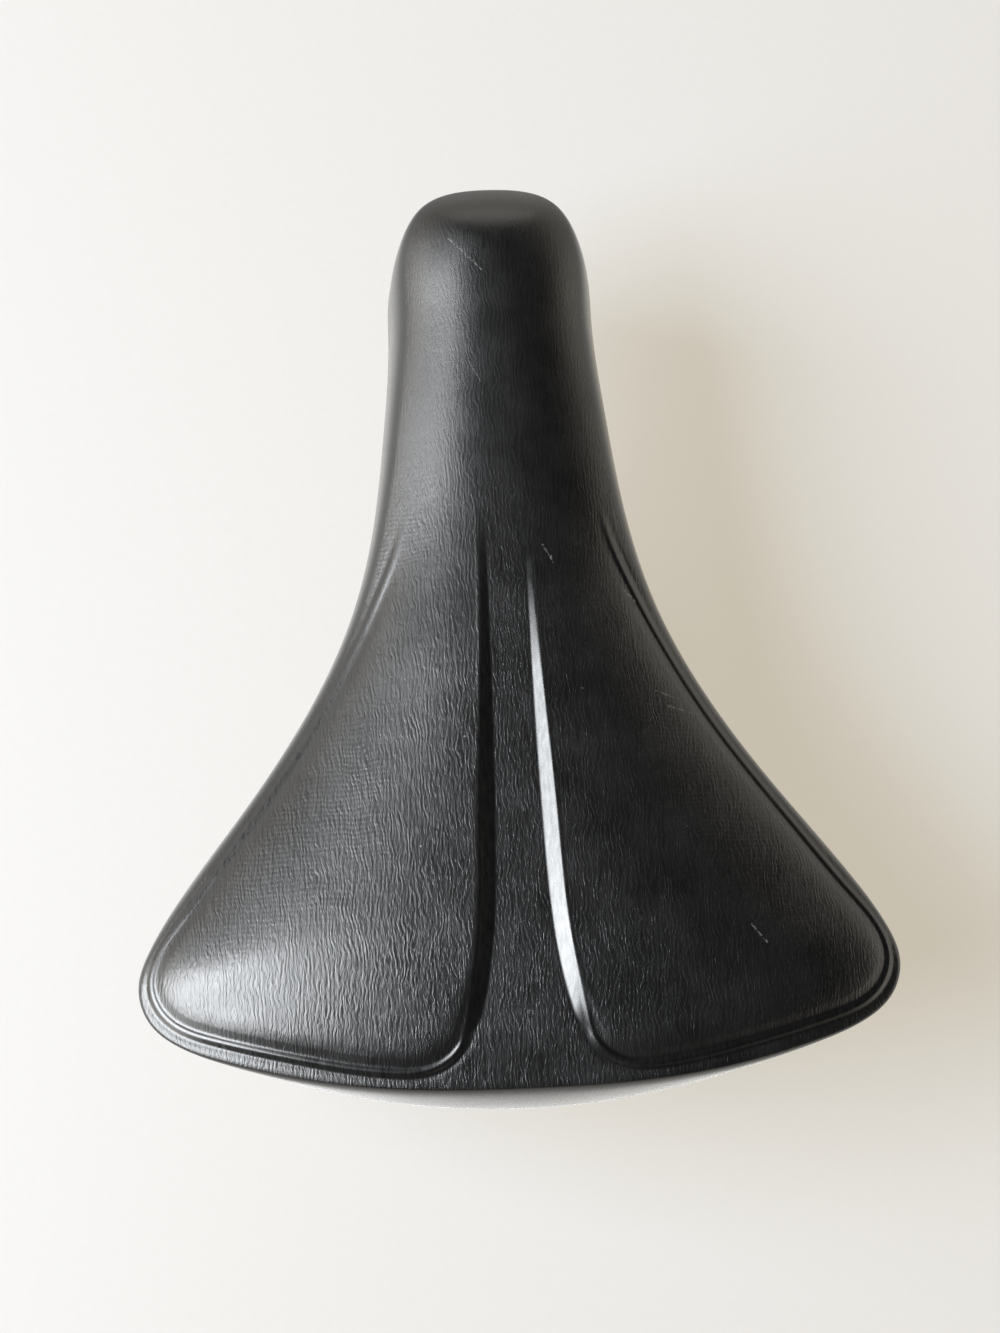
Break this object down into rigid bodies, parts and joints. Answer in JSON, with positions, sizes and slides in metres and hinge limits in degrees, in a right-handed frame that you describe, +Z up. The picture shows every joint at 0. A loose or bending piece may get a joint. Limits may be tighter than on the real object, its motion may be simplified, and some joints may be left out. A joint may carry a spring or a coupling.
{
  "type": "bicycle saddle",
  "caption": "Wide padded bicycle saddle: moulded skin with raised wing pads and a centre channel over foam, a moulded base, steel rails and a bolted seatpost clamp.",
  "frame": {"origin": "centre of the seatpost bore at the clamp collar's lower face", "axes": "+X to the rider's right, +Y towards the nose, +Z up along the seatpost"},
  "size_m": [0.2106, 0.2679, 0.1052],
  "materials": {
    "cover_skin": "black moulded skin with an embossed leather-like grain, smooth and glossy in the centre channel and on the beads",
    "foam": "open-cell polyurethane foam, hidden inside",
    "base_plastic": "black moulded polypropylene with a fine matt texture",
    "rail_steel": "black coated steel wire",
    "clamp_steel": "dark pressed steel, satin, with worn edges",
    "zinc_steel": "bright zinc-plated steel fasteners"
  },
  "bodies": {
    "collar": {"clamp_collar": "clamp_steel"},
    "clamp_head": {"inner_cup_left": "clamp_steel", "inner_cup_right": "clamp_steel", "outer_cup_left": "clamp_steel", "outer_cup_right": "clamp_steel", "washer_left": "zinc_steel", "clamp_bolt": "zinc_steel"},
    "saddle": {"cover": "cover_skin", "foam_pad": "foam", "base_shell": "base_plastic", "rail_frame": "rail_steel", "rear_bridge": "base_plastic", "nose_keeper": "clamp_steel", "bridge_screw_1": "zinc_steel", "bridge_screw_2": "zinc_steel", "bridge_screw_3": "zinc_steel", "bridge_screw_4": "zinc_steel", "nose_screw_1": "zinc_steel", "nose_screw_2": "zinc_steel"},
    "nut_washer": {"washer_right": "zinc_steel"},
    "nut": {"clamp_nut": "zinc_steel"}
  },
  "joints": [
    {"name": "saddle_tilt", "type": "hinge", "parent": "collar", "child": "clamp_head", "pos_m": [0, -0.028, 0.02], "axis": [1, 0, 0], "range_deg": [-20, 20]},
    {"name": "saddle_slide", "type": "slide", "parent": "clamp_head", "child": "saddle", "axis": [0, 1, 0], "range_m": [-0.025, 0.025]},
    {"name": "nut_travel", "type": "slide", "parent": "clamp_head", "child": "nut_washer", "axis": [1, 0, 0], "range_m": [0, 0.0025]},
    {"name": "nut_spin", "type": "hinge", "parent": "nut_washer", "child": "nut", "pos_m": [0.03, -0.028, 0.02], "axis": [1, 0, 0], "range_deg": [0, 720]}
  ],
  "couplings": [
    {"joint": "nut_travel", "follows": "nut_spin", "m_per_rad": 0.00019894}
  ]
}
